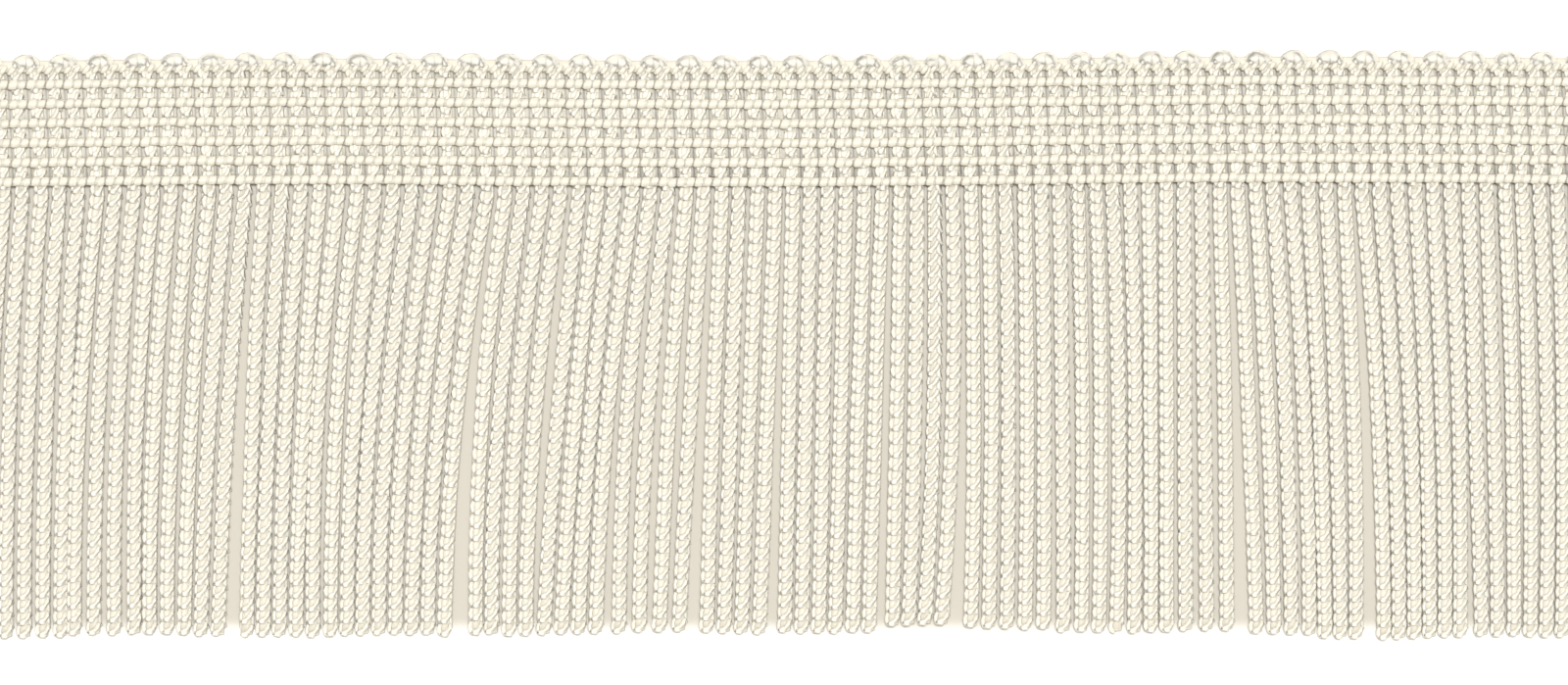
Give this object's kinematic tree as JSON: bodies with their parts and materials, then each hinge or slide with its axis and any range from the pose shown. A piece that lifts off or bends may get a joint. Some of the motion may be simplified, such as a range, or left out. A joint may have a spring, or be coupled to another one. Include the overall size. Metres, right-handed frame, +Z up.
{
  "type": "chainette fringe trim",
  "caption": "Length of fringe trim lying flat: a knitted band with a looped edge and a row of hanging chainette strands.",
  "frame": {"origin": "middle of the box's base, on the surface that the trim lies on", "axes": "+X along the trim, +Y across it from the strands' feet to the looped edge of the heading, +Z up from the surface out of the face"},
  "size_m": [0.2194, 0.0768, 0.0026],
  "materials": {
    "heading_yarn": "ivory silky rayon chainette and binding yarn, soft sheen",
    "fringe_yarn": "ivory silky rayon chainette, knitted relief, soft sheen"
  },
  "bodies": {
    "root": {"heading": "heading_yarn", "fringe": "fringe_yarn"}
  },
  "joints": []
}
